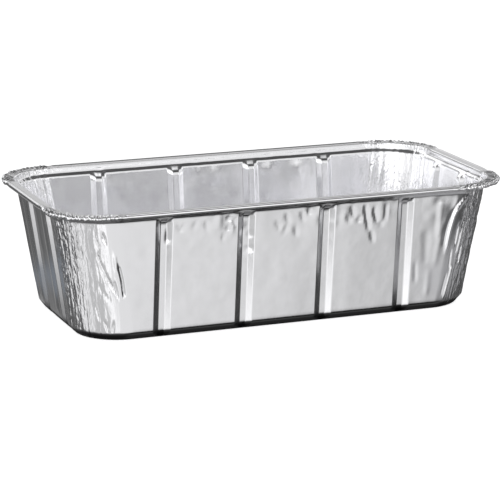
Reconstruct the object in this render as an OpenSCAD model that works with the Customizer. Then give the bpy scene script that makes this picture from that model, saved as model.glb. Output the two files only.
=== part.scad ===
/* [Rim] */
// Length of the pan over its rolled edge
rim_length = 317.5; // [280:0.5:360]
// Width of the pan over its rolled edge
rim_width = 166; // [150:0.5:200]
// Corner radius of the rolled edge, seen from above
rim_corner_r = 37.4; // [34:0.1:44]
// Width of the flat rim, from the outside of the rolled edge to the collar
rim_flat_w = 7; // [5:0.1:9]
// Diameter of the rolled edge
bead_d = 3.2; // [2.4:0.1:4]
// Angle that the rolled edge turns through from its top, down and back under the rim
bead_turn = 270; // [180:10:300]
// Height of the rolled edge above the flat rim
bead_rise = 0.5; // [0:0.1:1]
/* [Collar and ledge] */
// Drop of the steep collar below the flat rim
collar_h = 4.3; // [3:0.1:7]
// Distance that the collar leans inwards over its drop
collar_lean = 0.5; // [0.2:0.1:1.5]
// Drop of the ledge under the collar
ledge_h = 1.7; // [0.8:0.1:3]
// Width of the ledge, seen from above
ledge_w = 1.4; // [0.8:0.1:2.4]
/* [Wall] */
// Height of the pan, from the surface it rests on to the top of the rim
pan_height = 87; // [70:0.5:110]
// Corner radius at the top of the wall, seen from above
wall_corner_r = 32.9; // [30:0.1:37]
/* [Base] */
// Length of the flat base
base_length = 269.3; // [250:0.5:275]
// Width of the flat base
base_width = 124.1; // [112:0.5:128]
// Corner radius of the flat base, seen from above
base_corner_r = 28.6; // [24:0.1:32]
// Width of the sloping heel between the base and the wall
heel_w = 4; // [3:0.1:6]
// Height of the sloping heel
heel_h = 5.1; // [3:0.1:8]
/* [Ribs] */
// Number of ribs pressed into each long wall
side_ribs = 4; // [0:1:4]
// Distance between neighbouring ribs of a long wall
side_rib_pitch = 56.1; // [40:0.1:60]
// Distance that the front wall's ribs stand to the left of the back wall's, seen from the front
front_rib_shift = 3; // [0:0.1:5]
// Number of ribs pressed into each end wall
end_ribs = 2; // [0:1:2]
// Distance between neighbouring ribs of an end wall
end_rib_pitch = 39; // [24:0.5:42]
// Distance that the ribs of the left end stand towards the front, and those of the right end towards the back
end_rib_shift = 3.6; // [0:0.1:5]
// Width of a rib where it leaves the wall
rib_mouth_w = 11.6; // [10:0.1:14]
// Width of a rib at its floor
rib_floor_w = 4.2; // [3:0.1:8]
// Depth that a rib stands into the pan just below its cap
rib_depth = 2.4; // [1.5:0.1:4.5]
// Depth that a rib stands into the pan at the foot of the wall
rib_foot_depth = 1.8; // [1:0.1:4.5]
// Height of the sloping cap at the top of a rib
rib_cap_h = 3; // [2:0.1:8]
/* [Corner gathers] */
// Distance from one gather to the next, round a corner
gather_pitch = 4.9; // [4:0.1:8]
// Depth of a gather in the wall, from crest to valley
gather_depth = 1.5; // [0.4:0.1:2]
// Depth of a gather in the rim and its rolled edge
rim_gather_depth = 0.5; // [0.1:0.1:0.8]
// Share of a gather's depth that differs from one gather to the next
gather_unevenness = 0.3; // [0:0.05:0.5]
/* [Sheet] */
// Thickness of the foil
foil_t = 0.1; // [0.06:0.01:0.2]
/* [Hidden] */

// Middle of the sheet in the base and in the flat rim
base_z = foil_t / 2;
rim_z = pan_height - foil_t / 2 - bead_rise;

// The rolled edge is an arc about its own centre line. It rises from the flat rim to its top, and then turns
bead_r = (bead_d - foil_t) / 2;
bead_lead = acos(1 - bead_rise / bead_r);
bead_lead_steps = 2;
bead_steps = 6;

// Levels of the wall between the heel and the caps of the ribs
wall_steps = 4;

// Inset of a level from the outside of the rolled edge, and its height
collar_foot_inset = rim_flat_w + collar_lean;
wall_top_inset = collar_foot_inset + ledge_w;
collar_foot_z = rim_z - collar_h;
wall_top_z = collar_foot_z - ledge_h;
cap_foot_z = wall_top_z - rib_cap_h;
wall_foot_z = base_z + heel_h;

// Share of the wall's gather depth that is left at the wall's foot and at the collar's foot
heel_gather = 0.5;
collar_gather = 0.6;

// A level of the sheet: [half length, half width, corner radius, height, rib depth, gather depth]
function rim_level(inset, z, gather) =
    [
        rim_length / 2 - inset,
        rim_width / 2 - inset,
        rim_corner_r - (rim_corner_r - wall_corner_r) * inset / wall_top_inset,
        z,
        0,
        gather
    ];

base_edge = [base_length / 2, base_width / 2, base_corner_r, base_z, 0, 0];
wall_foot =
    [
        base_length / 2 + heel_w,
        base_width / 2 + heel_w,
        base_corner_r + heel_w,
        wall_foot_z,
        rib_foot_depth,
        gather_depth * heel_gather
    ];
wall_top = rim_level(wall_top_inset, wall_top_z, gather_depth);

// A level of the wall at height z, on the straight line from its foot to its top
function wall_level(z) =
    let (
        share = (z - wall_foot_z) / (wall_top_z - wall_foot_z),
        rib_share = (z - wall_foot_z) / (cap_foot_z - wall_foot_z)
    )
    [
        for (c = [0 : 2]) wall_foot[c] + (wall_top[c] - wall_foot[c]) * share,
        z,
        rib_foot_depth + (rib_depth - rib_foot_depth) * rib_share,
        gather_depth
    ];

// A level of the rolled edge, at an angle about its centre line
function bead_level(turn) =
    rim_level(
        bead_d / 2 - bead_r * cos(turn),
        pan_height - bead_d / 2 + bead_r * sin(turn),
        rim_gather_depth
    );

// The levels in order, from the base edge up the wall, over the rim and round the rolled edge
LEVELS =
    [
        base_edge,
        wall_foot,
        for (step = [1 : wall_steps]) wall_level(wall_foot_z + (cap_foot_z - wall_foot_z) * step / wall_steps),
        wall_top,
        rim_level(collar_foot_inset, collar_foot_z, gather_depth * collar_gather),
        rim_level(rim_flat_w, rim_z, rim_gather_depth),
        for (step = [0 : bead_lead_steps - 1]) bead_level(90 + bead_lead * (1 - step / bead_lead_steps)),
        for (step = [0 : bead_steps]) bead_level(90 - bead_turn * step / bead_steps)
    ];
level_count = len(LEVELS);

// Edges of the ribs along a wall: [place, 1 on a rib's floor or 0 on the wall]
function rib_edges(count, pitch) =
    [
        for (n = [0 : 1 : count - 1])
            let (middle = (n - (count - 1) / 2) * pitch)
            each [
                [middle - rib_mouth_w / 2, 0],
                [middle - rib_floor_w / 2, 1],
                [middle + rib_floor_w / 2, 1],
                [middle + rib_mouth_w / 2, 0]
            ]
    ];

// A station round the plan: [corner share x, y, fixed place x, y, outward x, y, rib share, gather share].
// Stations round one corner are crests and valleys in turn, and its first and last lie on the plain wall
corner_gathers = max(2, round(wall_corner_r * PI / 2 / gather_pitch));
corner_steps = 2 * corner_gathers;

function corner_stations(start) =
    let (sx = sign(cos(start + 45)), sy = sign(sin(start + 45)))
    [
        for (step = [0 : corner_steps])
            let (
                a = start + 90 * step / corner_steps,
                inner = step > 0 && step < corner_steps,
                uneven = 1 - gather_unevenness * (1 + sin(137.5 * step + start)) / 2
            )
            [sx, sy, 0, 0, cos(a), sin(a), 0, inner ? (step % 2 == 0 ? -uneven : uneven) : 0]
    ];

// Stations of a long wall and of an end wall, in the direction of the outline. The side is -1 at the front
function side_stations(side) =
    let (shift = side < 0 ? -front_rib_shift : 0)
    [
        for (edge = rib_edges(side_ribs, side_rib_pitch))
            [0, side, -side * edge[0] + shift, 0, 0, side, edge[1], 0]
    ];
function end_stations(side) =
    [
        for (edge = rib_edges(end_ribs, end_rib_pitch))
            [side, 0, 0, side * (edge[0] + end_rib_shift), side, 0, edge[1], 0]
    ];

STATIONS = concat(
    end_stations(1), corner_stations(0), side_stations(1), corner_stations(90),
    end_stations(-1), corner_stations(180), side_stations(-1), corner_stations(270)
);
station_count = len(STATIONS);

// Direction across the sheet at a level, as [outward, up]
function across(k) =
    let (
        below = LEVELS[max(k - 1, 0)],
        above = LEVELS[min(k + 1, level_count - 1)],
        run = above[0] - below[0],
        rise = above[3] - below[3],
        size = norm([run, rise])
    )
    [rise / size, -run / size];

// Middle of the sheet at level k and station i
function middle(k, i) =
    let (
        level = LEVELS[k],
        station = STATIONS[i],
        lean = across(k),
        gather = station[7] * level[5] / 2,
        outward = level[2] - station[6] * level[4] + gather * lean[0]
    )
    [
        station[0] * (level[0] - level[2]) + station[2] + station[4] * outward,
        station[1] * (level[1] - level[2]) + station[3] + station[5] * outward,
        level[3] + gather * lean[1]
    ];

MIDDLES = [for (k = [0 : level_count - 1]) [for (i = [0 : station_count - 1]) middle(k, i)]];

function unit(v) = v / norm(v);

// Direction out of the pan at a point of the sheet, from its neighbours on both sides
function outward_at(k, i) =
    let (
        round_step = MIDDLES[k][(i + 1) % station_count]
            - MIDDLES[k][(i + station_count - 1) % station_count],
        up_step = MIDDLES[min(k + 1, level_count - 1)][i] - MIDDLES[max(k - 1, 0)][i]
    )
    unit(cross(round_step, up_step));

// One face of the sheet: side is 1 for the outside of the pan and -1 for its inside
function skin(side) =
    [
        for (k = [0 : level_count - 1])
            for (i = [0 : station_count - 1])
                let (p = MIDDLES[k][i] + outward_at(k, i) * side * foil_t / 2)
                k == 0 ? [p[0], p[1], base_z - side * foil_t / 2] : p
    ];

// The two triangles of a four-cornered patch, split from a to c. Both faces of the sheet are split the same
// way, so that they never cross where the sheet is twisted
function patch(a, b, c, d) = [[a, b, c], [a, c, d]];

module foil_pan() {
    inside = level_count * station_count;
    top = level_count - 1;
    points = concat(skin(1), skin(-1), [[0, 0, base_z - foil_t / 2], [0, 0, base_z + foil_t / 2]]);
    hub = 2 * inside;
    walls =
        [
            for (k = [0 : top - 1])
                for (i = [0 : station_count - 1])
                    let (
                        j = (i + 1) % station_count,
                        low = k * station_count,
                        high = low + station_count
                    )
                    each concat(
                        patch(low + i, high + i, high + j, low + j),
                        patch(inside + low + i, inside + low + j, inside + high + j, inside + high + i)
                    )
        ];
    edge =
        [
            for (i = [0 : station_count - 1])
                let (j = (i + 1) % station_count, last = top * station_count)
                each patch(last + i, inside + last + i, inside + last + j, last + j)
        ];
    base =
        [
            for (i = [0 : station_count - 1])
                let (j = (i + 1) % station_count)
                each [[hub, i, j], [hub + 1, inside + j, inside + i]]
        ];
    color("gainsboro")
        polyhedron(points = points, faces = concat(walls, edge, base), convexity = 10);
}

foil_pan();
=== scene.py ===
"""Foil loaf pan: one sheet of rolled aluminium foil, pressed into a deep oblong baking pan.

The sheet is laid out as a grid. Its columns are stations round the pan, seen from above, and its rows are
levels from the middle of the base up the wall, over the rim and round the rolled edge. The grid is then set
in place, and the gathers, creases and dents of the foil are pressed into it.
"""
import logging
import math
from dataclasses import dataclass, field
from enum import Enum

import bmesh
import bpy
import numpy as np
from mathutils import Matrix, Vector


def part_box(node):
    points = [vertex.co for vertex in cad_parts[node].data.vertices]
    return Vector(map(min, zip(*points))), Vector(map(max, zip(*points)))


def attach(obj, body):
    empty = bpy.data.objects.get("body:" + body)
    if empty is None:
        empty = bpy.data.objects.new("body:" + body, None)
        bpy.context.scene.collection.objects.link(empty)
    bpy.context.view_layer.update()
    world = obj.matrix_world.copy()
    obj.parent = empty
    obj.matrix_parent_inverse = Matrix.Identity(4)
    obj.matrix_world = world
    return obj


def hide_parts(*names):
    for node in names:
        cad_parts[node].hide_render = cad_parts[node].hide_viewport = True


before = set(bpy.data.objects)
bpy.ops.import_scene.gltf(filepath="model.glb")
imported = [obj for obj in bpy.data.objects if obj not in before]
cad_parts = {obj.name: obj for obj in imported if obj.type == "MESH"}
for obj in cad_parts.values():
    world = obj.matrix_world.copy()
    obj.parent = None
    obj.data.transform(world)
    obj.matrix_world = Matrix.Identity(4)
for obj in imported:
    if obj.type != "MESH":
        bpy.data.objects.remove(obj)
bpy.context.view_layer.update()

LOG = logging.getLogger("foil_pan")
MM = 0.001
IMAGE_SIDE_PX = 500
Tree, Socket = bpy.types.NodeTree, bpy.types.NodeSocket


def linear_colour(code: str) -> tuple[float, float, float, float]:
    """Turn an sRGB hex colour into a linear one.

    Args:
        code: The colour as six hex digits after a hash.

    Returns:
        Red, green, blue and alpha, as Blender's sockets take them.
    """
    parts = [int(code[i : i + 2], 16) / 255 for i in (1, 3, 5)]
    return (*[p / 12.92 if p <= 0.04045 else ((p + 0.055) / 1.055) ** 2.4 for p in parts], 1.0)


def add_node(
    tree: Tree, kind: str, settings: dict = None, values: dict = None, links: dict = None
) -> bpy.types.Node:
    """Add one shader node.

    Args:
        tree: The node tree that takes it.
        kind: Blender's name for the kind of node, less its first word, ShaderNode.
        settings: The node's own properties and their values.
        values: Input sockets and the values that they hold.
        links: Input sockets and the output sockets that feed them.

    Returns:
        The new node.
    """
    node = tree.nodes.new("ShaderNode" + kind)
    for name, value in (settings or {}).items():
        setattr(node, name, value)
    for name, value in (values or {}).items():
        node.inputs[name].default_value = value
    for name, source in (links or {}).items():
        tree.links.new(source, node.inputs[name])
    return node


def combine(
    tree: Tree, operation: str, first: Socket, second: Socket
) -> Socket:
    """Join two numbers of a shader.

    Args:
        tree: The node tree that takes the node.
        operation: Blender's name for the operation.
        first: The socket with the first number.
        second: The socket with the second number.

    Returns:
        The socket with the result.
    """
    return add_node(tree, "Math", {"operation": operation}, links={0: first, 1: second}).outputs[0]


def smooth_step(low: float, high: float, value: np.ndarray) -> np.ndarray:
    """Rise smoothly from 0 at low to 1 at high.

    Args:
        low: Where the rise starts.
        high: Where it ends.
        value: The places that are asked for.

    Returns:
        A share from 0 to 1 for each place.
    """
    share = np.clip((value - low) / (high - low), 0.0, 1.0)
    return share * share * (3.0 - 2.0 * share)


class Corner(Enum):
    """The four corners of the pan, as signs of X and Y, in order round the outline from the back wall."""

    BACK_LEFT = (-1, 1)
    FRONT_LEFT = (-1, -1)
    FRONT_RIGHT = (1, -1)
    BACK_RIGHT = (1, 1)


@dataclass(frozen=True)
class PanSizes:
    """Real sizes of the pan in millimetres, the same as in the part's source."""

    length: float
    width: float
    height: float = 87.0
    rim_corner_radius: float = 37.4
    rim_flat: float = 7.0
    bead: float = 3.2
    bead_turn: float = 270.0
    bead_rise: float = 0.5
    collar_drop: float = 4.3
    collar_lean: float = 0.5
    ledge_drop: float = 1.7
    ledge: float = 1.4
    wall_corner_radius: float = 32.9
    base_length: float = 269.3
    base_width: float = 124.1
    base_corner_radius: float = 28.6
    heel: float = 4.0
    heel_rise: float = 5.1
    side_ribs: int = 4
    side_rib_pitch: float = 56.1
    front_rib_shift: float = 3.0
    end_ribs: int = 2
    end_rib_pitch: float = 39.0
    end_rib_shift: float = 3.6
    rib_mouth: float = 11.6
    rib_floor: float = 4.2
    rib_depth: float = 2.4
    rib_foot_depth: float = 1.8
    rib_cap: float = 3.0
    foil: float = 0.1

    @property
    def straight_x(self) -> float:
        """Half of the straight stretch of a long wall."""
        return self.base_length / 2 - self.base_corner_radius

    @property
    def straight_y(self) -> float:
        """Half of the straight stretch of an end wall."""
        return self.base_width / 2 - self.base_corner_radius

    @property
    def corner_arc(self) -> float:
        """Length of foil round one corner of the wall."""
        return self.wall_corner_radius * math.pi / 2

    @property
    def outline(self) -> float:
        """Length of foil once round the wall."""
        return 4 * (self.straight_x + self.straight_y + self.corner_arc)


class Levels:
    """Rows of the sheet, from the middle of the base to the free end of the rolled edge.

    Every row holds: share of the base edge's size, half length, half width, corner radius, height, depth of
    the ribs, share of the wall's gathers, share of the rim's gathers, and the run of foil from the base edge.
    """

    SCALE, HALF_X, HALF_Y, RADIUS, HEIGHT, RIB, GATHER, RIM, RUN = range(9)

    def __init__(self, pan: PanSizes) -> None:
        """Work out the rows.

        Args:
            pan: The pan's sizes.
        """
        self.pan = pan
        rows = np.array(self._base() + self._wall_and_rim() + self._bead())
        half, height = rows[:, self.SCALE] * rows[:, self.HALF_X], rows[:, self.HEIGHT]
        run = np.concatenate([[0.0], np.cumsum(np.hypot(np.diff(half), np.diff(height)))])
        self.rows = np.column_stack([rows, run])

    def _rim_row(self, inset: float, height: float, rib: float, gather: float, rim: float) -> list[float]:
        """Give a row at an inset from the outside of the rolled edge.

        Args:
            inset: The inset, in millimetres.
            height: Height of the row.
            rib: Depth of the ribs.
            gather: Share of the wall's gathers.
            rim: Share of the rim's gathers.

        Returns:
            The row.
        """
        p = self.pan
        top_inset = p.rim_flat + p.collar_lean + p.ledge
        radius = p.rim_corner_radius - (p.rim_corner_radius - p.wall_corner_radius) * inset / top_inset
        return [1.0, p.length / 2 - inset, p.width / 2 - inset, radius, height, rib, gather, rim]

    def _base(self) -> list[list[float]]:
        """Give the rows of the flat base, out from its middle."""
        p = self.pan
        shares = (0.0, 0.2, 0.45, 0.68, 0.85, 0.95)
        edge = [p.base_length / 2, p.base_width / 2, p.base_corner_radius, p.foil / 2, 0.0, 0.0, 0.0]
        return [[share, *edge] for share in shares]

    def _wall_and_rim(self) -> list[list[float]]:
        """Give the rows from the base edge to the start of the rolled edge, with small arcs at the bends."""
        p = self.pan
        rim_z = p.height - p.foil / 2 - p.bead_rise
        collar_z = rim_z - p.collar_drop
        wall_z = collar_z - p.ledge_drop
        collar_inset = p.rim_flat + p.collar_lean
        base_edge = [1.0, p.base_length / 2, p.base_width / 2, p.base_corner_radius, p.foil / 2, 0, 0.1, 0]
        foot = [1.0, p.base_length / 2 + p.heel, p.base_width / 2 + p.heel, p.base_corner_radius + p.heel,
                p.foil / 2 + p.heel_rise, p.rib_foot_depth, 0.55, 0]
        top = self._rim_row(collar_inset + p.ledge, wall_z, 0, 0.8, 0)
        cap_share = 1 - p.rib_cap / (wall_z - foot[self.HEIGHT])
        cap = [a + (b - a) * cap_share for a, b in zip(foot, top)]
        cap[self.RIB], cap[self.GATHER] = p.rib_depth, 1
        collar = self._rim_row(collar_inset, collar_z, 0, 0.5, 0.15)
        rim_in = self._rim_row(p.rim_flat, rim_z, 0, 0.15, 0.6)
        rim_out = self._bead_row(90 + self._lead())
        inside = list(base_edge)
        inside[self.HALF_X] -= p.heel
        inside[self.HALF_Y] -= p.heel
        inside[self.RADIUS] -= p.heel
        # Bends in order: the row at the bend, reach of its arc, rows in the arc, rows in the stretch above it
        bends = (
            (base_edge, 0.6, 3, 1), (foot, 0.9, 3, 34), (cap, 0.6, 2, 1), (top, 0.35, 2, 0),
            (collar, 0.4, 2, 1), (rim_in, 0.5, 3, 1),
        )
        corners = [np.array(row, float) for row in (inside, *(bend[0] for bend in bends), rim_out)]
        rows = []
        for n, (_, reach, arc_rows, stretch_rows) in enumerate(bends, start=1):
            before, here, after = corners[n - 1 : n + 2]
            start = here + (before - here) * reach / self._run(before, here)
            end = here + (after - here) * reach / self._run(here, after)
            for t in np.linspace(0, 1, arc_rows):
                rows.append((1 - t) ** 2 * start + 2 * t * (1 - t) * here + t * t * end)
            stretch = self._run(here, after)
            next_reach = bends[n][1] if n < len(bends) else 0.0
            for t in np.linspace(reach / stretch, 1 - next_reach / stretch, stretch_rows + 2)[1:-1]:
                rows.append(here + (after - here) * t)
        return [list(row) for row in rows]

    def _run(self, a: np.ndarray, b: np.ndarray) -> float:
        """Give the length of sheet between two rows, seen in the section."""
        return math.hypot(b[self.HALF_X] - a[self.HALF_X], b[self.HEIGHT] - a[self.HEIGHT])

    def _lead(self) -> float:
        """Give the angle of the rolled edge between the flat rim and its top."""
        radius = (self.pan.bead - self.pan.foil) / 2
        return math.degrees(math.acos(1 - self.pan.bead_rise / radius))

    def _bead_row(self, turn: float) -> list[float]:
        """Give a row of the rolled edge, at an angle about its centre line."""
        p = self.pan
        radius = (p.bead - p.foil) / 2
        inset = p.bead / 2 - radius * math.cos(math.radians(turn))
        return self._rim_row(inset, p.height - p.bead / 2 + radius * math.sin(math.radians(turn)), 0, 0, 1)

    def _bead(self) -> list[list[float]]:
        """Give the rows of the rolled edge: up from the flat rim to its top, round and back under the rim."""
        lead = np.linspace(90 + self._lead(), 90, 3)[:-1]
        return [self._bead_row(turn) for turn in (*lead, *np.linspace(90, 90 - self.pan.bead_turn, 9))]


class Stations:
    """Columns of the sheet, once round the pan from the middle of the back wall, past the left end.

    Every column holds: share of the corner's centre in X and Y, fixed place in X and Y, outward direction in
    X and Y, share of the rib's depth, and the length of foil from the middle of the front wall.
    """

    CORNER_X, CORNER_Y, FIXED_X, FIXED_Y, OUT_X, OUT_Y, RIB, ALONG = range(8)
    # Distances between columns on a wall's panels, and beyond its last rib, in millimetres
    BACK_STEPS, END_STEPS, FRONT_STEPS = (3.5, 1.8), (2.4, 1.4), (1.35, 0.8)
    # Half width of the soft bends at a rib's edges, and the longest stretch that isn't divided
    RIB_BEND, SHORT_STRETCH = 0.45, 3.0
    # Distance from the last rib to the place where columns start to lean with the corner
    LEAN_GAP = 1.0

    def __init__(self, pan: PanSizes) -> None:
        """Work out the columns.

        Args:
            pan: The pan's sizes.
        """
        self.pan = pan
        self.columns = np.array(self._all())

    def _wall_places(
        self, half: float, middles: list[float], panel_step: float, end_step: float
    ) -> list[float]:
        """Choose places along one wall: close together at its ribs, wider between them.

        Args:
            half: Half of the wall's straight stretch.
            middles: Middles of its ribs.
            panel_step: Distance between places on the panels between ribs.
            end_step: Distance between places beyond the last rib, where corner creases run out.

        Returns:
            Places along the wall, from one end to the other.
        """
        p = self.pan
        mouth, floor = p.rib_mouth / 2, p.rib_floor / 2
        soft = self.RIB_BEND
        offsets = (mouth + soft, mouth, mouth - soft, (mouth + floor) / 2, floor + soft, floor, floor - soft)
        places = [-half, half]
        for middle in middles:
            places += [middle + s * o for o in offsets for s in (-1, 1)] + [middle]
        places.sort()
        filled = []
        for a, b in zip(places, places[1:]):
            step = end_step if a == -half or b == half else panel_step
            count = max(1, round((b - a) / step)) if b - a > self.SHORT_STRETCH else 1
            filled += [a + (b - a) * k / count for k in range(count)]
        return filled[1:]

    def _all(self) -> list[list[float]]:
        """Give every column, in order."""
        p = self.pan
        out = []
        quarter = p.outline / 4
        back_ribs = self._rib_middles(p.side_ribs, p.side_rib_pitch, 0.0)
        front_ribs = self._rib_middles(p.side_ribs, p.side_rib_pitch, -p.front_rib_shift)
        end_ribs = self._rib_middles(p.end_ribs, p.end_rib_pitch, p.end_rib_shift)
        back = self._wall_places(p.straight_x, back_ribs, *self.BACK_STEPS)
        ends = self._wall_places(p.straight_y, end_ribs, *self.END_STEPS)
        front = self._wall_places(p.straight_x, front_ribs, *self.FRONT_STEPS)
        end_middle = 2 * quarter - p.straight_x - p.corner_arc - p.straight_y

        def wall(places: list[float], side: tuple[int, int], ribs: list[float], origin: float) -> None:
            """Add one straight wall. Places run in the outline's direction, and origin is its middle."""
            sx, sy = side
            half = p.straight_x if sy else p.straight_y
            # Beyond the last rib the wall widens upwards with its corners, so places there lean with them
            rib_end = max(abs(ribs[0]), abs(ribs[-1])) + p.rib_mouth / 2 + self.LEAN_GAP
            for s in places:
                lean = math.copysign(max(0.0, (abs(s) - rib_end) / (half - rib_end)), s)
                fixed = s - lean * half
                centre = (sx - sy * lean, sy + sx * lean)
                rib = self._rib_share(s, ribs)
                out.append([*centre, -sy * fixed, sx * fixed, sx, sy, rib, origin + s])

        def corner(which: Corner, start: float) -> None:
            """Add one corner. Its first and last columns are the ends of the walls beside it."""
            sx, sy = which.value
            middle = math.degrees(math.atan2(sy, sx))
            for t in self._corner_places(which):
                a = math.radians(middle - 45 + 90 * t)
                out.append([sx, sy, 0.0, 0.0, math.cos(a), math.sin(a), 0.0, start + p.corner_arc * t])

        back_half = [s for s in back if s >= 0]
        wall(back_half, (0, 1), back_ribs, -2 * quarter)
        corner(Corner.BACK_LEFT, -2 * quarter + p.straight_x)
        wall(ends, (-1, 0), end_ribs, -end_middle)
        corner(Corner.FRONT_LEFT, -p.straight_x - p.corner_arc)
        wall(front, (0, -1), front_ribs, 0.0)
        corner(Corner.FRONT_RIGHT, p.straight_x)
        wall(ends, (1, 0), end_ribs, end_middle)
        corner(Corner.BACK_RIGHT, 2 * quarter - p.straight_x - p.corner_arc)
        wall([-s for s in reversed(back_half)], (0, 1), back_ribs, 2 * quarter)
        return out

    def _corner_places(self, which: Corner) -> np.ndarray:
        """Choose places round one corner, as shares of its arc: closest where the front's creases end."""
        if which is Corner.FRONT_LEFT:
            return np.concatenate([np.linspace(0, 0.6, 51)[:-1], np.linspace(0.6, 1, 45)])
        if which is Corner.FRONT_RIGHT:
            return np.concatenate([np.linspace(0, 0.3, 33)[:-1], np.linspace(0.3, 1, 57)])
        return np.linspace(0, 1, 57)

    def _rib_middles(self, count: int, pitch: float, shift: float) -> list[float]:
        """Give the middles of a wall's ribs, in the outline's direction."""
        return [(n - (count - 1) / 2) * pitch + shift for n in range(count)]

    def _rib_share(self, place: float, middles: list[float]) -> float:
        """Give the share of the rib's depth at a place along a wall."""
        p = self.pan
        off = min(abs(place - middle) for middle in middles)
        return min(1.0, max(0.0, (p.rib_mouth / 2 - off) / ((p.rib_mouth - p.rib_floor) / 2)))


class FoilNoise:
    """Smooth random fields over the sheet, the same on every run, that meet where the outline closes."""

    HEIGHTS = 96

    def __init__(self, outline: float, seed: int) -> None:
        """Keep the outline's length and the seed.

        Args:
            outline: Length of foil once round the pan, in millimetres.
            seed: Number that the field is drawn from.
        """
        self.outline = outline
        self.seed = seed

    def __call__(
        self, along: np.ndarray, height: np.ndarray, cell: tuple[float, float], salt: int
    ) -> np.ndarray:
        """Give the field's values.

        Args:
            along: Places round the pan, in millimetres.
            height: Heights, in millimetres.
            cell: Size of a cell along and up, in millimetres.
            salt: Number that tells one field from the next.

        Returns:
            Values from -1 to 1.
        """
        count = max(2, round(self.outline / cell[0]))
        table = np.random.default_rng(self.seed * 1000 + salt).uniform(-1, 1, (count, self.HEIGHTS))
        x = (along / self.outline % 1.0) * count
        y = height / cell[1] + self.HEIGHTS / 4
        i, j = np.floor(x).astype(int), np.floor(y).astype(int)
        fx, fy = x - i, y - j
        fx, fy = fx * fx * (3 - 2 * fx), fy * fy * (3 - 2 * fy)
        i0, i1 = i % count, (i + 1) % count
        j0, j1 = j % self.HEIGHTS, (j + 1) % self.HEIGHTS
        low = table[i0, j0] * (1 - fx) + table[i1, j0] * fx
        high = table[i0, j1] * (1 - fx) + table[i1, j1] * fx
        return low * (1 - fy) + high * fy


def fold(phase: np.ndarray, lean: float) -> np.ndarray:
    """Give a row of folds with sharp crests, one to each whole phase.

    Args:
        phase: Places in folds.
        lean: Share of a fold that its rising side takes. Half is an even fold.

    Returns:
        Heights from -1 to 1.
    """
    part = phase % 1.0
    rise = part / lean
    fall = (1 - part) / (1 - lean)
    return 2 * np.minimum(rise, fall) - 1


@dataclass(frozen=True)
class Crease:
    """One crease or dent of the wall, as a line on the sheet in millimetres along and up."""

    start: tuple[float, float]
    end: tuple[float, float]
    depth: float
    reach: float
    bow: float = 0.0
    teeth: float = 0.0
    sharp: bool = True

    # Stretch at each end where the crease runs out: the shorter of a share of its length and a distance
    RUN_OUT_SHARE = 0.35
    RUN_OUT_MM = 4.0

    def press(self, along: np.ndarray, height: np.ndarray) -> np.ndarray:
        """Give how far the crease moves each place of the sheet outwards.

        Args:
            along: Places round the pan.
            height: Heights.

        Returns:
            Distances outwards, in millimetres.
        """
        dx, dy = self.end[0] - self.start[0], self.end[1] - self.start[1]
        length = math.hypot(dx, dy)
        tx, ty = dx / length, dy / length
        s = ((along - self.start[0]) * tx + (height - self.start[1]) * ty) / length
        off = (along - self.start[0]) * ty - (height - self.start[1]) * tx
        off = off - self.bow * 4 * s * (1 - s)
        run_out = min(self.RUN_OUT_SHARE, self.RUN_OUT_MM / length)
        inside = smooth_step(0, run_out, s) * smooth_step(1, 1 - run_out, s)
        q = np.abs(off) / self.reach
        if self.sharp:
            profile = np.clip(1 - q, 0, 1)
        else:
            profile = np.exp(-2 * q * q)
        if self.teeth:
            profile = profile * (0.55 + 0.45 * fold(s * length / self.teeth, 0.5))
        return self.depth * profile * inside


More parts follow.
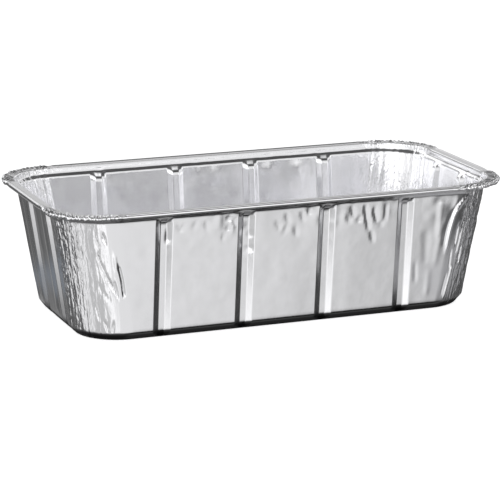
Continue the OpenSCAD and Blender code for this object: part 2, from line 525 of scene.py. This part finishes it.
# Single creases and dents, each placed by millimetres from the middle of the front wall and above the table
CREASES = (
    # Front left
    Crease((-123.8, 61), (-113.3, 31), -1.0, 1.2, 1.0),
    Crease((-123.8, 53), (-115.2, 35), -1.0, 1.1, 0.6, 2.4),
    Crease((-131.7, 40), (-126.6, 29), -1.0, 1.1, 0.0, 2.2),
    Crease((-126.5, 40), (-117.4, 26), -1.0, 1.1, 0.0, 2.4),
    Crease((-110.9, 53), (-109.6, 29), -1.1, 1.4, -0.8),
    Crease((-115.3, 43), (-113.6, 28), -0.9, 1.1, -0.4),
    Crease((-119.0, 74.5), (-116.6, 65.5), -1.2, 1.3),
    Crease((-123.4, 72), (-121.0, 60), -0.8, 1.1, 0.0, 2.2),
    Crease((-134.4, 67), (-134.0, 49), -0.8, 1.0, 0.0, 2.4),
    Crease((-137.4, 58), (-136.2, 34), -0.7, 1.0, 0.0, 2.6),
    Crease((-129.4, 27), (-127.0, 12), -0.7, 1.0),
    Crease((-124.9, 14), (-122.0, 6.5), -1.0, 1.1),
    Crease((-120.2, 6.5), (-118.0, 13.5), -1.0, 1.1),
    Crease((-112.0, 62), (-112.6, 47), 0.4, 1.6, sharp=False),
    # Left end
    Crease((-181.0, 79), (-181.4, 7), 0.6, 1.7),
    Crease((-195.7, 79), (-195.2, 30), 0.25, 2.4),
    Crease((-217.6, 79), (-217.0, 7), 0.5, 1.4),
    Crease((-221.6, 79), (-221.2, 7), 0.5, 1.4),
    Crease((-225.6, 79), (-225.4, 7), 0.6, 1.4),
    # Front right
    Crease((117.5, 79), (107.4, 65), 1.0, 1.1, 1.4),
    Crease((109.6, 72), (107.6, 40), 1.0, 1.1, 1.4),
    Crease((115.2, 78), (105.2, 64), -0.4, 1.3, 1.4),
    Crease((107.2, 69), (105.4, 44), -0.4, 1.3, 1.2),
    Crease((100.6, 79), (101.8, 50), 0.2, 1.5),
    Crease((114.9, 31), (112.7, 6.5), 0.9, 1.0),
    Crease((111.6, 27), (110.2, 8), -0.5, 1.2),
    Crease((113.3, 58), (113.7, 43), -1.0, 1.0),
    Crease((111.2, 43), (112.8, 27), -0.8, 1.0),
    Crease((120.8, 45), (120.0, 30), -0.8, 1.0),
    Crease((118.0, 62), (117.0, 36), 0.6, 1.0),
    Crease((90.2, 36), (91.2, 20), -0.2, 2.0, sharp=False),
    Crease((95.8, 58), (96.8, 32), -0.14, 2.6, sharp=False),
    Crease((103.2, 76), (102.2, 30), 0.14, 2.2, sharp=False),
    Crease((99.0, 30), (99.6, 10), 0.14, 2.4, sharp=False),
    # First panel
    Crease((-79.4, 75.4), (-76.2, 71.9), -0.5, 1.1),
    Crease((-76.6, 71.9), (-72.4, 75.2), -0.5, 1.1),
    Crease((-45.6, 78.4), (-41.8, 76.6), -0.7, 1.2),
    Crease((-42.4, 77.4), (-38.4, 73.6), -0.8, 1.2),
    Crease((-45.6, 71.6), (-42.0, 70.6), -0.8, 1.3),
    Crease((-48.4, 66.0), (-46.2, 63.8), -0.5, 1.0),
    Crease((-69.0, 72.0), (-64.6, 77.0), -0.3, 1.3),
    Crease((-60.6, 76.5), (-56.8, 70.5), -0.28, 1.5, sharp=False),
    # Second panel
    Crease((-5.2, 77.2), (-0.8, 70.8), -0.45, 1.4),
    Crease((5.2, 77.6), (9.8, 70.8), -0.5, 1.4),
    Crease((-12.0, 72.0), (-7.0, 67.4), -0.4, 1.4),
    Crease((-6.4, 64.2), (-1.6, 68.6), -0.35, 1.4),
    Crease((10.6, 80.0), (13.4, 74.2), -0.5, 1.3),
    Crease((2.0, 68.0), (4.5, 61.0), -0.3, 1.8, sharp=False),
    # Third panel
    Crease((51.6, 79.0), (55.8, 60.0), -0.7, 1.3, 0.6),
    Crease((55.6, 60.6), (59.4, 52.0), -0.5, 1.4),
    Crease((58.0, 76.8), (62.2, 64.6), -0.7, 1.3, 0.8),
    Crease((61.8, 64.8), (66.2, 65.8), -0.6, 1.2),
    Crease((66.0, 65.4), (66.0, 78.4), -0.5, 1.2, 0.5),
    Crease((41.6, 79.0), (45.6, 69.6), -0.5, 1.4, 0.6),
    Crease((45.4, 69.8), (50.2, 68.0), -0.5, 1.4, 0.3),
    Crease((36.8, 73.0), (42.8, 67.0), -0.35, 1.6, sharp=False),
    # Ribs
    Crease((-84.2, 75.0), (-84.8, 61.8), -0.5, 1.1),
    Crease((-86.0, 61.8), (-82.6, 62.8), 0.6, 1.0),
    Crease((-31.0, 65.4), (-25.6, 64.8), -0.6, 1.3),
    Crease((-31.0, 55.6), (-25.0, 54.6), -0.8, 1.3),
    Crease((-30.4, 52.4), (-26.0, 53.0), 0.5, 1.2),
)


class FoilSheet:
    """The whole sheet: sets grid places in space, with the foil's gathers, creases and dents."""

    # Depths of the long and short waves of the wall, and of the waves of the base, in millimetres
    LONG_WAVE, SHORT_WAVE, BASE_WAVE = 0.09, 0.03, 0.12
    # Shares of the gathers and of the fine wrinkles that the front left corner lacks towards the front
    GATHER_CALM, WRINKLE_CALM = 0.7, 0.75
    # Share of the fine wrinkles that the back corners lack
    BACK_CALM = 0.75

    def __init__(self, pan: PanSizes, creases: tuple[Crease, ...]) -> None:
        """Lay out rows and columns.

        Args:
            pan: The pan's sizes.
            creases: The single creases and dents of the wall.
        """
        self.pan = pan
        self.creases = creases
        self.levels = Levels(pan).rows
        stations = Stations(pan).columns
        closing = stations[0].copy()
        closing[Stations.ALONG] += pan.outline
        self.stations = np.vstack([stations, closing])
        self.noise = FoilNoise(pan.outline, seed=7)
        self.foot_row = int(np.argmax(self.levels[:, Levels.RIB] > 0.9 * pan.rib_foot_depth))

    @property
    def column_count(self) -> int:
        """Number of columns once round the pan."""
        return len(self.stations) - 1

    @property
    def row_count(self) -> int:
        """Number of rows from the middle of the base to the end of the rolled edge."""
        return len(self.levels)

    def _pick(self, table: np.ndarray, places: np.ndarray) -> np.ndarray:
        """Read a table between its rows."""
        low = np.clip(np.floor(places).astype(int), 0, len(table) - 2)
        part = (places - low)[:, None]
        return table[low] * (1 - part) + table[low + 1] * part

    def smooth(self, column: np.ndarray, row: np.ndarray) -> np.ndarray:
        """Place the sheet with its ribs but without gathers, creases and dents.

        Args:
            column: Columns, which may lie between two stations.
            row: Rows, which may lie between two levels.

        Returns:
            Points in millimetres.
        """
        c = self._pick(self.stations, column % self.column_count)
        r = self._pick(self.levels, np.clip(row, 0, self.row_count - 1))
        scale = r[:, Levels.SCALE]
        radius = r[:, Levels.RADIUS]
        out = radius - c[:, Stations.RIB] * r[:, Levels.RIB]
        corner_x = c[:, Stations.CORNER_X] * (r[:, Levels.HALF_X] - radius)
        corner_y = c[:, Stations.CORNER_Y] * (r[:, Levels.HALF_Y] - radius)
        x = scale * (corner_x + c[:, Stations.FIXED_X] + c[:, Stations.OUT_X] * out)
        y = scale * (corner_y + c[:, Stations.FIXED_Y] + c[:, Stations.OUT_Y] * out)
        return np.stack([x, y, r[:, Levels.HEIGHT]], axis=1)

    def outward(self, column: np.ndarray, row: np.ndarray) -> np.ndarray:
        """Give the direction out of the pan, square to the smooth sheet."""
        reach = 0.35
        round_step = self.smooth(column + reach, row) - self.smooth(column - reach, row)
        up_step = self.smooth(column, row + reach) - self.smooth(column, row - reach)
        square = np.cross(round_step, up_step)
        size = np.linalg.norm(square, axis=1, keepdims=True)
        flat = size[:, 0] < 1e-9
        size[flat] = 1.0
        square = square / size
        square[flat] = (0.0, 0.0, -1.0)
        return square

    def corner_share(
        self, along: np.ndarray, side: tuple[float, float], end: tuple[float, float]
    ) -> np.ndarray:
        """Give how far a place belongs to a corner: 1 round the arc, falling to 0 along the walls.

        Args:
            along: Places round the pan.
            side: Distances past the end of a long wall's straight stretch where the rise starts and ends.
            end: The same for an end wall.

        Returns:
            Shares from 0 to 1.
        """
        p = self.pan
        half = p.outline / 2
        place = np.minimum(np.abs(along), 2 * half - np.abs(along))
        past_side = np.minimum(place, half - place) - p.straight_x
        past_end = np.abs(place - half / 2) - p.straight_y
        return np.minimum(smooth_step(side[0], side[1], past_side), smooth_step(end[0], end[1], past_end))

    def back_share(self, along: np.ndarray) -> np.ndarray:
        """Give how far a place belongs to the back half of the pan, whose gathers are long and soft."""
        quarter = self.pan.outline / 4
        return smooth_step(quarter - 12, quarter + 12, np.abs(along))

    def calm_share(self, along: np.ndarray) -> np.ndarray:
        """Give how far a place belongs to the front of the front left corner, where the foil is smoother."""
        return smooth_step(-146, -130, along) * (along < 0)

    def gathers(self, along: np.ndarray, height: np.ndarray) -> np.ndarray:
        """Give the gathers of the wall at its corners, in millimetres outwards."""
        n = self.noise
        back = self.back_share(along)
        wander = 0.6 * n(along, height, (9, 22), 1) + 0.3 * n(along, height, (4, 8), 2)
        broad = fold(along / 6.3 + 0.6 * n(along, height, (14, 36), 3), 0.34)
        main = fold(along / 2.9 + wander, 0.34)
        fine = fold(along / 1.7 + 1.5 * wander, 0.5)
        strength = 0.2 + 0.8 * np.abs(n(along, height, (2.9, 15), 4))
        patch = 0.3 + 0.7 * np.abs(n(along, height, (1.8, 4.5), 5))
        diamonds = n(along, height, (1.9, 4.2), 6) * n(along, height, (9, 14), 7)
        front = 0.26 * broad + 0.6 * main * strength + 0.28 * fine * patch + 0.36 * diamonds
        streaks = fold(along / 5.4 + 0.35 * n(along, height, (11, 60), 8), 0.42)
        soft = 0.2 * streaks + 0.3 * n(along, height, (2.9, 40), 9) + 0.14 * n(along, height, (1.7, 11), 10)
        calm = 1 - self.GATHER_CALM * self.calm_share(along)
        return (1 - back) * front * calm + back * soft

    def rim_gathers(self, along: np.ndarray, run: np.ndarray) -> np.ndarray:
        """Give the gathers of the rim and the rolled edge at the corners, in millimetres outwards."""
        n = self.noise
        pleats = fold(along / 2.5 + 0.6 * n(along, run, (6, 9), 11), 0.4)
        strength = 0.35 + 0.65 * np.abs(n(along, run, (2.3, 7), 12))
        fine = n(along, run, (1.1, 1.6), 13)
        return 0.9 * pleats * strength + 0.4 * fine

    def dimples(self, along: np.ndarray, height: np.ndarray) -> np.ndarray:
        """Give the soft dents that the press leaves at the top of the wall, in millimetres outwards."""
        n = self.noise
        high = smooth_step(52, 72, height) * smooth_step(0.0, 0.5, n(along, height, (17, 26), 31))
        back = np.abs(along) > self.pan.outline / 2 - self.pan.straight_x
        dents = n(along, height, (4.2, 5.5), 32)
        spikes = n(along, height, (2.6, 9.0), 33)
        return high * np.where(back, 0.42 * spikes, 0.22 * dents)

    def press(self, column: np.ndarray, row: np.ndarray) -> tuple[np.ndarray, np.ndarray]:
        """Give the foil's relief.

        Args:
            column: Columns.
            row: Rows.

        Returns:
            Distances outwards in millimetres, and how crumpled the foil is there, from 0 to 1.
        """
        r = self._pick(self.levels, row)
        along = self._pick(self.stations, column)[:, Stations.ALONG]
        height, run = r[:, Levels.HEIGHT], r[:, Levels.RUN]
        on_wall = smooth_step(self.foot_row - 3, self.foot_row, row)
        gather, rim = r[:, Levels.GATHER], r[:, Levels.RIM]
        back = self.back_share(along)
        corner = (1 - back) * self.corner_share(along, (5, 17), (-6, 1))
        corner += back * self.corner_share(along, (-12, 6), (-6, 2))
        rim_corner = self.corner_share(along, (-5, -1), (-4, 0))
        n = self.noise
        relief = corner * gather * self.gathers(along, height)
        relief += rim_corner * rim * self.rim_gathers(along, run)
        wall_only = on_wall * smooth_step(0.3, 0.0, rim)
        relief += self.LONG_WAVE * wall_only * n(along, height, (22, 30), 21)
        relief += self.SHORT_WAVE * wall_only * n(along, height, (7, 11), 22)
        relief += wall_only * self.dimples(along, height)
        for crease in self.creases:
            relief += wall_only * crease.press(along, height)
        base = 1 - smooth_step(0, self.foot_row - 3, row)
        point = self.smooth(column, row)
        wave = np.sin(point[:, 0] / 11.0 + 1.3 * np.sin(point[:, 1] / 17.0)) * np.sin(point[:, 1] / 9.0 + 0.7)
        relief -= self.BASE_WAVE * base * (1 + wave) * smooth_step(0, 1, row)
        calm = 1 - self.WRINKLE_CALM * self.calm_share(along)
        crumple = np.maximum(corner * gather * calm * (1 - self.BACK_CALM * back), rim_corner * rim)
        return relief, crumple

    def unrolled(self, column: np.ndarray, row: np.ndarray) -> np.ndarray:
        """Give each place on the flat sheet: millimetres round the pan, and up from the base edge."""
        along = self._pick(self.stations, column)[:, Stations.ALONG]
        return np.stack([along, self._pick(self.levels, row)[:, Levels.RUN]], axis=1)

    def place(self, column: np.ndarray, row: np.ndarray) -> tuple[np.ndarray, np.ndarray]:
        """Place the finished sheet.

        Args:
            column: Columns.
            row: Rows.

        Returns:
            Points in millimetres, and how crumpled the foil is at each.
        """
        relief, crumple = self.press(column, row)
        points = self.smooth(column, row) + self.outward(column, row) * relief[:, None]
        return points, crumple


@dataclass(frozen=True)
class FoilFinish:
    """Bright side of cold-rolled aluminium foil: a pale metal with a soft, slightly streaked mirror."""

    slot: str = "foil"
    colour: str = "#f0f0f2"
    roughness: float = 0.14
    roughness_swing: float = 0.08
    ripple_mm: float = 7.0
    streak_mm: float = 0.7
    crumple_mm: float = 1.9
    crumple_depth_mm: float = 0.7
    crumple_stretch: float = 0.28
    crumple_bend: float = 0.35
    ripple_depth_mm: float = 0.12
    ripple_strength: float = 0.35
    streak_depth_mm: float = 0.02
    streak_strength: float = 0.12
    streak_stretch: float = 0.02

    def build(self) -> bpy.types.Material:
        """Make the material.

        Returns:
            The material, ready for a piece's slot.
        """
        material = bpy.data.materials.new("cold_rolled_aluminium_foil")
        material.use_nodes = True
        tree = material.node_tree
        tree.nodes.clear()
        place = add_node(tree, "TexCoord").outputs["Object"]
        crumple = add_node(tree, "Attribute", {"attribute_name": "crumple"}).outputs["Fac"]
        # Work rolls leave lines along the sheet: real ones are a tenth of this width, and would not show
        lines_place = add_node(
            tree, "Mapping", values={"Scale": (self.streak_stretch, 1.0, 1.0)}, links={"Vector": place}
        ).outputs["Vector"]
        lines = add_node(
            tree, "TexNoise", values={"Scale": 1 / (self.streak_mm * MM), "Detail": 2.0},
            links={"Vector": lines_place},
        ).outputs["Fac"]
        ripple = add_node(
            tree, "TexNoise", values={"Scale": 1 / (self.ripple_mm * MM), "Detail": 2.0},
            links={"Vector": place},
        ).outputs["Fac"]
        # Fine wrinkles of gathered foil, longer up the wall than round it. The UV map is in millimetres
        sheet = add_node(tree, "UVMap", {"uv_map": "sheet_mm"}).outputs["UV"]
        stretched = add_node(
            tree, "Mapping", values={"Scale": (1.0, self.crumple_stretch, 1.0)}, links={"Vector": sheet}
        ).outputs["Vector"]
        bent = add_node(
            tree, "TexNoise", values={"Scale": self.crumple_bend, "Detail": 1.0},
            links={"Vector": sheet},
        ).outputs["Color"]
        wrinkle_place = add_node(
            tree, "MixRGB", {"blend_type": "ADD"}, {0: 1.0}, {1: stretched, 2: bent}
        ).outputs[0]
        wrinkles = add_node(
            tree, "TexVoronoi", {"feature": "DISTANCE_TO_EDGE"},
            {"Scale": 1 / self.crumple_mm}, {"Vector": wrinkle_place},
        ).outputs["Distance"]
        soft = add_node(
            tree, "Bump",
            values={"Strength": self.ripple_strength, "Distance": self.ripple_depth_mm * MM},
            links={"Height": ripple},
        ).outputs["Normal"]
        lined = add_node(
            tree, "Bump",
            values={"Strength": self.streak_strength, "Distance": self.streak_depth_mm * MM},
            links={"Height": lines, "Normal": soft},
        ).outputs["Normal"]
        crumpled = add_node(
            tree, "Bump", values={"Distance": self.crumple_depth_mm * MM},
            links={"Height": wrinkles, "Strength": crumple, "Normal": lined},
        ).outputs["Normal"]
        rough = add_node(
            tree, "MapRange",
            values={"From Min": 0.3, "From Max": 0.7, "To Min": self.roughness - self.roughness_swing / 2,
                    "To Max": self.roughness + self.roughness_swing / 2},
            links={"Value": ripple},
        ).outputs["Result"]
        shader = add_node(
            tree, "BsdfPrincipled", values={"Base Color": linear_colour(self.colour), "Metallic": 1.0},
            links={"Normal": crumpled, "Roughness": rough},
        )
        add_node(tree, "OutputMaterial", links={"Surface": shader.outputs["BSDF"]})
        return material


@dataclass
class FoilPan:
    """The pan itself: one pressed sheet, which stands for the CAD solid of the same form."""

    pan: PanSizes
    finish: FoilFinish = field(default_factory=FoilFinish)
    node: str = "foil_pan"

    def build(self) -> bpy.types.Object:
        """Model and dress the pan.

        Returns:
            The pan's object.
        """
        sheet = FoilSheet(self.pan, CREASES)
        columns, rows = sheet.column_count, sheet.row_count
        bm = bmesh.new()
        bmesh.ops.create_grid(bm, x_segments=columns, y_segments=rows - 1, size=0.5)
        bmesh.ops.translate(bm, verts=bm.verts, vec=(0.5, 0.5, 0.0))
        bmesh.ops.scale(bm, verts=bm.verts, vec=(columns, rows - 1, 1.0))
        grid = np.array([v.co[:2] for v in bm.verts])
        flat = sheet.unrolled(grid[:, 0], grid[:, 1])
        points, crumple = sheet.place(grid[:, 0], grid[:, 1])
        bm.verts.index_update()
        sheet_map = bm.loops.layers.uv.new("sheet_mm")
        for face in bm.faces:
            for loop in face.loops:
                loop[sheet_map].uv = flat[loop.vert.index]
        layer = bm.verts.layers.float.new("crumple")
        for vert, point, share in zip(bm.verts, points * MM, crumple):
            vert.co = point
            vert[layer] = share
        bmesh.ops.remove_doubles(bm, verts=bm.verts, dist=0.002 * MM)
        bmesh.ops.recalc_face_normals(bm, faces=bm.faces)
        for face in bm.faces:
            face.smooth = True
        mesh = bpy.data.meshes.new("foil_pan_sheet")
        bm.to_mesh(mesh)
        bm.free()
        pan = bpy.data.objects.new("foil_pan_sheet", mesh)
        bpy.context.scene.collection.objects.link(pan)
        mesh.materials.append(self.finish.build())
        wall = pan.modifiers.new("foil_thickness", "SOLIDIFY")
        wall.thickness = self.pan.foil * MM
        wall.offset = 0.0
        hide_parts(self.node)
        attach(pan, "root")
        LOG.info("foil_pan_sheet: %d columns, %d rows, %d faces", columns, rows, len(mesh.polygons))
        return pan


@dataclass(frozen=True)
class SoftBox:
    """A soft box of the studio: a lamp with a square face that looks at the pan."""

    name: str
    place: tuple[float, float, float]
    size: tuple[float, float]
    radiance: float

    def build(self) -> None:
        """Hang the lamp. Its power follows from its face and from how bright the face looks."""
        data = bpy.data.lights.new(self.name, "AREA")
        data.shape = "RECTANGLE"
        data.size, data.size_y = self.size
        data.energy = self.radiance * math.pi * self.size[0] * self.size[1]
        lamp = bpy.data.objects.new(self.name, data)
        lamp.location = self.place
        lamp.rotation_euler = (-Vector(self.place)).to_track_quat("-Z", "Y").to_euler()
        bpy.context.scene.collection.objects.link(lamp)


@dataclass(frozen=True)
class RoomPart:
    """A part of the room round the pan that is lighter or darker than the rest."""

    towards: tuple[float, float, float]
    inner: float
    outer: float
    change: float


@dataclass(frozen=True)
class PaintedReflection:
    """A painted reflection: a pale glowing patch of the table beside the pan that only the metal shows, in
    metres.
    """

    x_low: tuple[float, float]
    x_high: tuple[float, float]
    y_low: tuple[float, float]
    y_high: tuple[float, float]
    colour: str
    level: float
    cover: float


@dataclass
class Studio:
    """Pale table, a room with light and dark parts, and the camera at the photograph's viewing angle."""

    pan: PanSizes
    azimuth: float = -21.25
    elevation: float = 13.79
    distance: float = 1664.5
    focal_px: float = 2460.6
    aim: tuple[float, float, float] = (-0.54, -7.79, 43.5)
    sensor: float = 36.0
    table_colour: str = "#d8d8da"
    table_glow: float = 0.8
    table_half: float = 4.0
    table_drop: float = 0.3
    shade_from: float = 2.0
    shade_to: float = 9.0
    shade_light: float = 0.06
    clip: tuple[float, float] = (0.05, 50.0)
    room_light: float = 0.6
    room_level: float = 0.15
    room_floor: float = 0.03
    parts: tuple[RoomPart, ...] = (
        RoomPart((-0.05, -0.93, -0.35), 20, 38, 0.9),
        RoomPart((0.35, -0.92, 0.12), 19, 25, 0.95),
        RoomPart((0.72, -0.68, 0.16), 7, 16, 1.1),
        RoomPart((0.92, 0.24, 0.26), 7, 16, 0.9),
        RoomPart((0.7, 0.38, 0.6), 8, 16, 1.0),
        RoomPart((-0.85, -0.5, -0.3), 25, 50, 0.56),
        RoomPart((-0.62, -0.75, 0.28), 22, 40, 1.35),
        RoomPart((0.92, -0.35, -0.35), 10, 25, -0.08),
        RoomPart((0.95, -0.25, 0.25), 9, 22, 1.0),
        RoomPart((0.75, 0.6, 0.1), 10, 24, 1.0),
        RoomPart((-0.98, -0.05, 0.2), 10, 26, 0.75),
        RoomPart((-0.3, 0.83, 0.47), 10, 18, 1.5),
        RoomPart((-0.78, 0.6, 0.22), 14, 24, 1.6),
        RoomPart((0.353, 0.88, 0.3), 13, 26, 0.6),
        RoomPart((0.6, 0.76, 0.25), 6, 14, 0.4),
        RoomPart((0.3, -0.05, 0.95), 14, 23, 0.6),
        RoomPart((0.352, -0.67, 0.65), 10, 16, -0.05),
        RoomPart((0.36, 0.06, -0.93), 8, 15, 0.22),
        RoomPart((0.0, 0.9, 0.42), 8, 14, 0.5),
        RoomPart((-0.95, 0.05, -0.36), 12, 24, 0.5),
        RoomPart((0.35, -0.5, -0.79), 14, 24, -0.12),
        RoomPart((0.2, 0.75, -0.62), 16, 34, 0.4),
    )
    # Painted reflections: glowing patches of the table that only the metal mirrors
    painted_reflections: tuple[PaintedReflection, ...] = (
        PaintedReflection((0.1, 0.13), (0.3, 0.5), (-0.16, -0.12), (-0.08, -0.065), "#f2f2f4", 0.62, 0.55),
        PaintedReflection((-0.23, -0.2), (-0.165, -0.15), (0.02, 0.05), (0.08, 0.14), "#c9d2de", 0.36, 0.8),
    )
    boxes: tuple[SoftBox, ...] = (
        SoftBox("overhead_box", (0.35, -0.5, 2.4), (1.2, 0.9), 0.7),
    )

    def camera(self) -> None:
        """Place the camera that the photograph was taken with."""
        a, e = math.radians(self.azimuth), math.radians(self.elevation)
        back = Vector((math.sin(a) * math.cos(e), -math.cos(a) * math.cos(e), math.sin(e)))
        right = Vector((math.cos(a), math.sin(a), 0.0))
        up = back.cross(right)
        shift_right, shift_up, middle = self.aim
        target = Vector((0, 0, middle)) + right * shift_right + up * shift_up
        data = bpy.data.cameras.new("camera")
        data.sensor_width = self.sensor
        data.lens = self.focal_px * self.sensor / IMAGE_SIDE_PX
        data.clip_start, data.clip_end = self.clip
        camera = bpy.data.objects.new("camera", data)
        turn = Matrix((right, up, back)).transposed().to_4x4()
        camera.matrix_world = Matrix.Translation((target + back * self.distance) * MM) @ turn
        bpy.context.scene.collection.objects.link(camera)
        bpy.context.scene.camera = camera

    def _foot_shade(self, tree: Tree) -> Socket:
        """Give the share of light that the metal sees from the table: hardly any at the pan's foot."""
        p = self.pan
        place = add_node(tree, "TexCoord").outputs["Object"]
        folded = add_node(tree, "VectorMath", {"operation": "ABSOLUTE"}, links={0: place}).outputs[0]
        # Distances are taken in the plane of the table, so the last value is far above it
        inner = (p.straight_x * MM, p.straight_y * MM, 10.0)
        past = add_node(
            tree, "VectorMath", {"operation": "SUBTRACT"}, {1: inner}, {0: folded}
        ).outputs[0]
        past = add_node(tree, "VectorMath", {"operation": "MAXIMUM"}, {1: (0, 0, 0)}, {0: past}).outputs[0]
        reach = add_node(tree, "VectorMath", {"operation": "LENGTH"}, links={0: past}).outputs["Value"]
        return add_node(
            tree, "MapRange", {"interpolation_type": "SMOOTHSTEP"},
            {"From Min": (p.base_corner_radius + self.shade_from) * MM,
             "From Max": (p.base_corner_radius + self.shade_to) * MM,
             "To Min": self.shade_light, "To Max": 1.0},
            {"Value": reach},
        ).outputs["Result"]

    def _band(
        self, tree: Tree, place: Socket, low: tuple[float, float],
        high: tuple[float, float],
    ) -> Socket:
        """Give 1 inside a band of the table and 0 outside it.

        Args:
            tree: The table's node tree.
            place: The coordinate that the band is measured along, in metres.
            low: Where the band's first edge starts and ends.
            high: Where its second edge starts and ends.

        Returns:
            The socket with the share.
        """
        shares = [
            add_node(
                tree, "MapRange", {"interpolation_type": "SMOOTHSTEP"},
                {"From Min": edge[0], "From Max": edge[1]}, {"Value": place},
            ).outputs["Result"]
            for edge in (low, high[::-1])
        ]
        return combine(tree, "MULTIPLY", *shares)

    def _painted_reflections(self, tree: Tree) -> list[tuple[Socket, str, float]]:
        """Give the share, colour and brightness of each painted reflection, a pale glowing patch that only
        the metal sees.
        """
        axes = add_node(
            tree, "SeparateXYZ", links={0: add_node(tree, "TexCoord").outputs["Object"]}
        )
        painted_reflections = []
        for painted_reflection in self.painted_reflections:
            across = self._band(tree, axes.outputs["X"], painted_reflection.x_low, painted_reflection.x_high)
            deep = self._band(tree, axes.outputs["Y"], painted_reflection.y_low, painted_reflection.y_high)
            share = add_node(
                tree, "Math", {"operation": "MULTIPLY"}, {1: painted_reflection.cover},
                {0: combine(tree, "MULTIPLY", across, deep)},
            ).outputs[0]
            painted_reflections.append((share, painted_reflection.colour, painted_reflection.level))
        return painted_reflections

    def _by_ray(
        self, tree: Tree, light: bpy.types.Node, camera: bpy.types.Node,
        metal: Socket,
    ) -> Socket:
        """Show one thing to the camera, another to the metal, and light the scene with a third.

        Args:
            tree: The node tree that takes the nodes.
            light: The shader that lights the scene.
            camera: The shader that the camera sees.
            metal: The socket of the shader that the metal mirrors.

        Returns:
            The socket of the joined shader.
        """
        path = add_node(tree, "LightPath").outputs
        seen = add_node(
            tree, "MixShader",
            links={0: path["Is Camera Ray"], 1: light.outputs[0], 2: camera.outputs[0]},
        ).outputs[0]
        mirrored = combine(tree, "MAXIMUM", path["Is Glossy Ray"], path["Is Transmission Ray"])
        return add_node(tree, "MixShader", links={0: mirrored, 1: seen, 2: metal}).outputs[0]

    def table(self) -> None:
        """Make the table top: white to the camera, with the pan's soft shadow on it."""
        bm = bmesh.new()
        bmesh.ops.create_grid(bm, x_segments=1, y_segments=1, size=self.table_half)
        bmesh.ops.translate(bm, verts=bm.verts, vec=(0, 0, -self.table_drop * MM))
        mesh = bpy.data.meshes.new("table_top")
        bm.to_mesh(mesh)
        bm.free()
        top = bpy.data.objects.new("table_top", mesh)
        bpy.context.scene.collection.objects.link(top)
        material = bpy.data.materials.new("matt_table_paper")
        material.use_nodes = True
        tree = material.node_tree
        tree.nodes.clear()
        paper = add_node(tree, "BsdfDiffuse", values={"Color": linear_colour(self.table_colour)})
        glow = add_node(tree, "Emission", values={"Strength": self.table_glow})
        lit = add_node(tree, "AddShader", links={0: paper.outputs[0], 1: glow.outputs[0]})
        through = add_node(tree, "BsdfTransparent", links={"Color": self._foot_shade(tree)})
        shown = through.outputs[0]
        # Painted reflections: glowing patches of the table that only the metal sees
        for share, colour, level in self._painted_reflections(tree):
            painted_reflection = add_node(tree, "Emission", values={"Color": linear_colour(colour), "Strength": level})
            shown = add_node(
                tree, "MixShader", links={0: share, 1: shown, 2: painted_reflection.outputs[0]}
            ).outputs[0]
        surface = self._by_ray(tree, paper, lit, shown)
        add_node(tree, "OutputMaterial", links={"Surface": surface})
        mesh.materials.append(material)

    def room(self) -> None:
        """Set the room: plain for light, white to the camera, with its light and dark parts in the metal."""
        world = bpy.data.worlds.new("studio_room")
        bpy.context.scene.world = world
        world.use_nodes = True
        tree = world.node_tree
        tree.nodes.clear()
        way = add_node(tree, "TexCoord").outputs["Generated"]
        level = None
        for part in self.parts:
            aim = Vector(part.towards).normalized()
            start = self.room_level if level is None else 0.0
            near = add_node(
                tree, "VectorMath", {"operation": "DOT_PRODUCT"}, {1: tuple(aim)}, {0: way}
            ).outputs["Value"]
            share = add_node(
                tree, "MapRange", {"interpolation_type": "SMOOTHSTEP"},
                {"From Min": math.cos(math.radians(part.outer)),
                 "From Max": math.cos(math.radians(part.inner)),
                 "To Min": start, "To Max": part.change + start},
                {"Value": near},
            ).outputs["Result"]
            level = share if level is None else combine(tree, "ADD", level, share)
        level = add_node(
            tree, "Math", {"operation": "MAXIMUM"}, {1: self.room_floor}, {0: level}
        ).outputs[0]
        plain = add_node(tree, "Background", values={"Strength": self.room_light})
        white = add_node(tree, "Background", values={"Strength": 1.0})
        shown = add_node(tree, "Background", links={"Strength": level})
        surface = self._by_ray(tree, plain, white, shown.outputs[0])
        add_node(tree, "OutputWorld", links={"Surface": surface})

    def build(self) -> None:
        """Set up the whole studio."""
        bpy.context.scene.view_settings.view_transform = "Standard"
        self.camera()
        self.table()
        self.room()
        for box in self.boxes:
            box.build()
        LOG.info("studio: table, room, %d lamps, camera", len(self.boxes))


def write_sizes() -> None:
    """Update the view layer."""
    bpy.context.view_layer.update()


def main() -> None:
    """Build the pan and the studio, in order."""
    logging.basicConfig(level=logging.INFO, format="%(name)s: %(message)s")
    low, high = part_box("foil_pan")
    pan = PanSizes(length=(high[0] - low[0]) / MM, width=(high[1] - low[1]) / MM)
    FoilPan(pan).build()
    Studio(pan).build()
    write_sizes()


if __name__ == "__main__":
    main()
